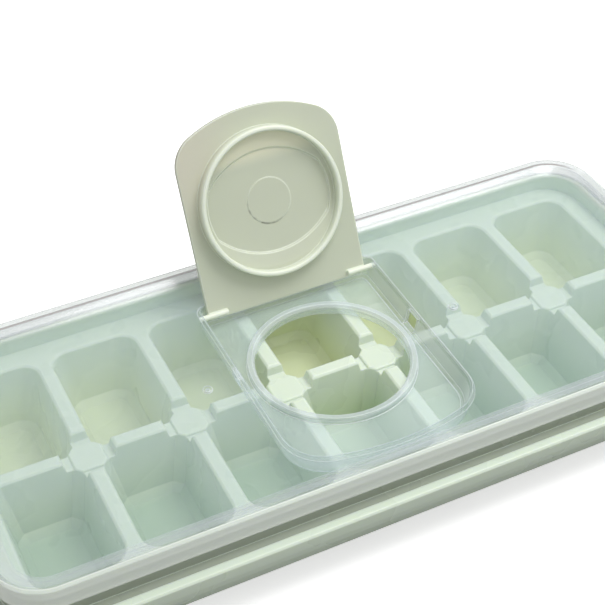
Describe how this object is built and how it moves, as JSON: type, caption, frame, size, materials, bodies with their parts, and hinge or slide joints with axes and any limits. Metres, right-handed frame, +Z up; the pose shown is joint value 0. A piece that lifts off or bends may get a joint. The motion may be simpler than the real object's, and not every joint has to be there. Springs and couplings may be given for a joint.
{
  "type": "ice cube tray",
  "caption": "Long two-row ice cube tray with tapered cells, a clear push-fit lid with a sunk round filling hole, and a hinged flip cap with a plug ring.",
  "frame": {"origin": "centre of the tray's outline on the plane that its cells stand on", "axes": "+X along the tray, +Y towards the hinge side, +Z up"},
  "size_m": [0.265, 0.1242, 0.0887],
  "materials": {
    "tray_plastic": "glossy moulded polypropylene, pale green",
    "lid_plastic": "clear frosted polypropylene, glossy outside",
    "cap_plastic": "satin moulded polypropylene, pale green"
  },
  "bodies": {
    "tray": {"tray": "tray_plastic"},
    "lid": {"lid": "lid_plastic"},
    "flip_cap": {"flip_cap": "cap_plastic"}
  },
  "joints": [
    {"name": "lid_lift", "type": "slide", "parent": "tray", "child": "lid", "axis": [0, 0, 1], "range_m": [0, 0.06]},
    {"name": "cap_hinge", "type": "hinge", "parent": "lid", "child": "flip_cap", "pos_m": [0, 0.0328, 0.0307], "axis": [1, 0, 0], "range_deg": [0, 116]}
  ]
}
